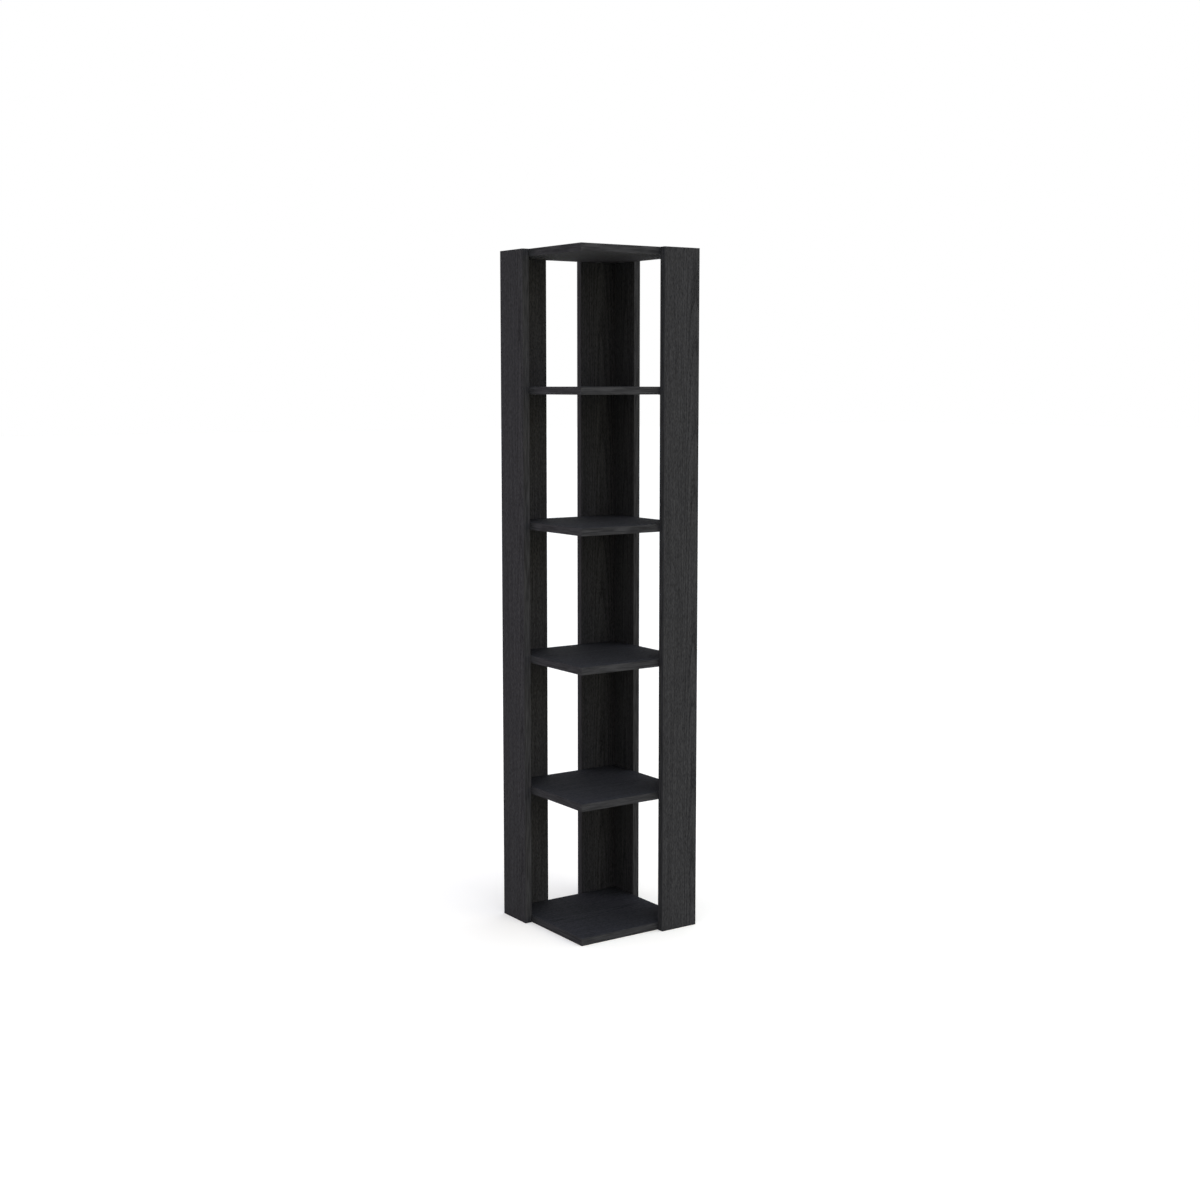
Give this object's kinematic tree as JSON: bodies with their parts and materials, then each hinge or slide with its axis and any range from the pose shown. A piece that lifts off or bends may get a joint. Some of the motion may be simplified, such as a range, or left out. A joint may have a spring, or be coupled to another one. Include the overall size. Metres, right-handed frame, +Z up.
{
  "type": "corner bookcase",
  "caption": "Tall slim corner bookcase: square shelves held at three corners by L-shaped posts of flat boards, with the front corner open, in black wood-grain board.",
  "frame": {"origin": "on the floor, under the middle of the bookcase's square plan", "axes": "+Z up, +Y to the rear wall, +X to the right; the room's corner is at -X +Y and the open corner at +X -Y"},
  "size_m": [0.336, 0.336, 1.608],
  "materials": {
    "black_wood_board": "chipboard faced with black wood-grain melamine, matt, with fine pores",
    "black_edge_band": "black plastic edge strip with a printed wood grain, matt",
    "black_cap": "moulded black plastic, finely spark-textured",
    "beech_dowel": "raw beech",
    "steel_bolt": "zinc plated",
    "zinc_casting": null
  },
  "bodies": {
    "root": {"bottom_shelf": "black_wood_board", "shelf_2": "black_wood_board", "shelf_3": "black_wood_board", "shelf_4": "black_wood_board", "shelf_5": "black_wood_board", "top_shelf": "black_wood_board", "left_post_front_board": "black_wood_board", "left_post_side_board": "black_wood_board", "corner_post_side_board": "black_wood_board", "corner_post_rear_board": "black_wood_board", "right_post_rear_board": "black_wood_board", "right_post_side_board": "black_wood_board", "bottom_shelf_edge_bands": "black_edge_band", "shelf_2_edge_bands": "black_edge_band", "shelf_3_edge_bands": "black_edge_band", "shelf_4_edge_bands": "black_edge_band", "shelf_5_edge_bands": "black_edge_band", "top_shelf_edge_bands": "black_edge_band", "left_post_front_board_edge_bands": "black_edge_band", "left_post_side_board_edge_bands": "black_edge_band", "corner_post_side_board_edge_bands": "black_edge_band", "corner_post_rear_board_edge_bands": "black_edge_band", "right_post_rear_board_edge_bands": "black_edge_band", "right_post_side_board_edge_bands": "black_edge_band", "wooden_dowels": "beech_dowel", "cam_bolts": "steel_bolt", "cam_locks": "zinc_casting", "cam_caps": "black_cap"}
  },
  "joints": []
}
